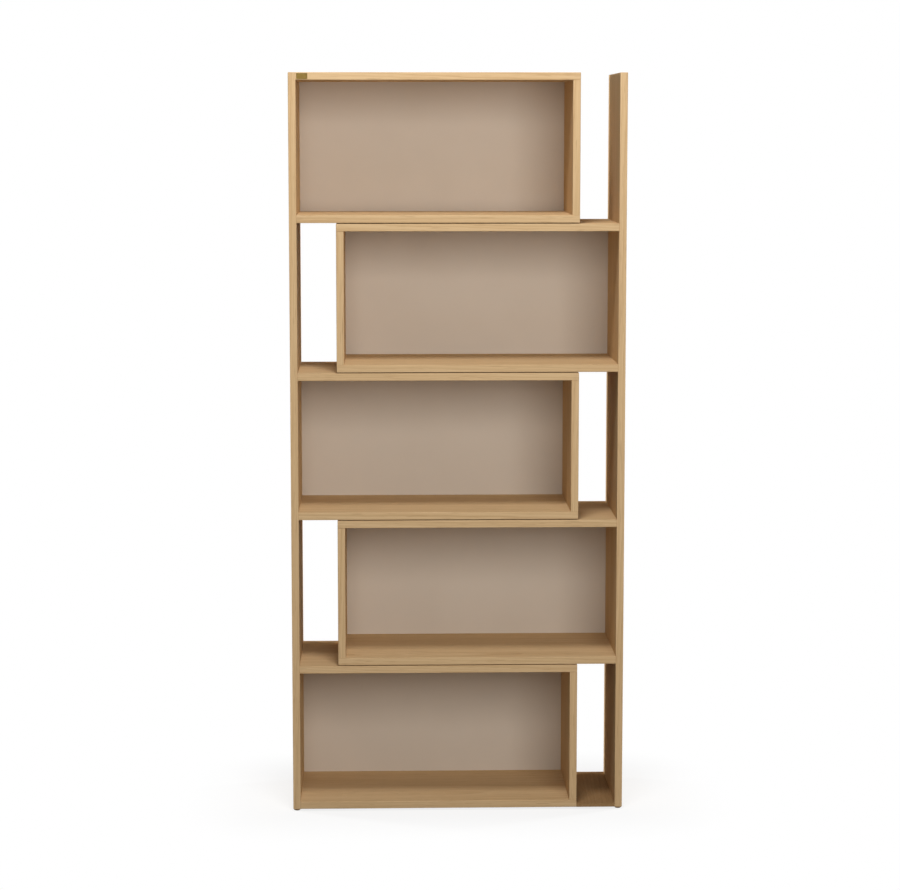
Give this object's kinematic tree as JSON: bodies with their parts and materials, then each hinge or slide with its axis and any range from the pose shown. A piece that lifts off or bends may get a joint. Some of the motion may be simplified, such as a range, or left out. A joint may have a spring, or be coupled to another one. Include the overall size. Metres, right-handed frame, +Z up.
{
  "type": "staircase bookshelf",
  "caption": "Tall open bookcase of shelf boxes stepped left and right between side panels, with an open slot beside each box.",
  "frame": {"origin": "on the floor, under the middle of the shelf's width and depth", "axes": "+X to the right of someone facing the shelf, +Y to the rear, +Z up"},
  "size_m": [0.8, 0.3006, 1.778],
  "materials": {
    "oak_board": "light oak melamine on board, satin, grain along the length",
    "oak_band": "light oak printed edge band, satin",
    "taupe_back": "plain taupe lacquered thin board, satin",
    "tie_board": "browner oak melamine without an edge band, satin",
    "beech": "plain turned beech",
    "cast_zinc": "dull cast zinc",
    "plated_steel": "zinc-plated steel",
    "dark_plastic": "moulded brown plastic",
    "brass": "brushed and darkened brass sheet"
  },
  "bodies": {
    "root": {"left_side_panel": "oak_board", "left_side_front_band": "oak_band", "left_side_top_band": "oak_band", "right_side_panel": "oak_board", "right_side_front_band": "oak_band", "right_side_top_band": "oak_band", "box_1_top_panel": "oak_board", "box_1_bottom_panel": "oak_board", "box_1_divider": "oak_board", "box_1_back_panel": "taupe_back", "box_1_front_bands": "oak_band", "box_1_end_bands": "oak_band", "box_1_divider_front_band": "oak_band", "box_2_top_panel": "oak_board", "box_2_bottom_panel": "oak_board", "box_2_divider": "oak_board", "box_2_back_panel": "taupe_back", "box_2_front_bands": "oak_band", "box_2_end_bands": "oak_band", "box_2_divider_front_band": "oak_band", "box_3_top_panel": "oak_board", "box_3_bottom_panel": "oak_board", "box_3_divider": "oak_board", "box_3_back_panel": "taupe_back", "box_3_front_bands": "oak_band", "box_3_end_bands": "oak_band", "box_3_divider_front_band": "oak_band", "box_4_top_panel": "oak_board", "box_4_bottom_panel": "oak_board", "box_4_divider": "oak_board", "box_4_back_panel": "taupe_back", "box_4_front_bands": "oak_band", "box_4_end_bands": "oak_band", "box_4_divider_front_band": "oak_band", "box_5_top_panel": "oak_board", "box_5_bottom_panel": "oak_board", "box_5_divider": "oak_board", "box_5_back_panel": "taupe_back", "box_5_front_bands": "oak_band", "box_5_end_bands": "oak_band", "box_5_divider_front_band": "oak_band", "base_tie_board": "tie_board", "wooden_dowels": "beech", "base_tie_dowels": "beech", "cam_locks": "cast_zinc", "cam_bolts": "plated_steel", "connector_screws": "plated_steel", "box_joining_screws": "plated_steel", "box_spacers": "dark_plastic", "floor_glides": "dark_plastic", "glide_nails": "plated_steel", "blank_plate": "brass"}
  },
  "joints": []
}
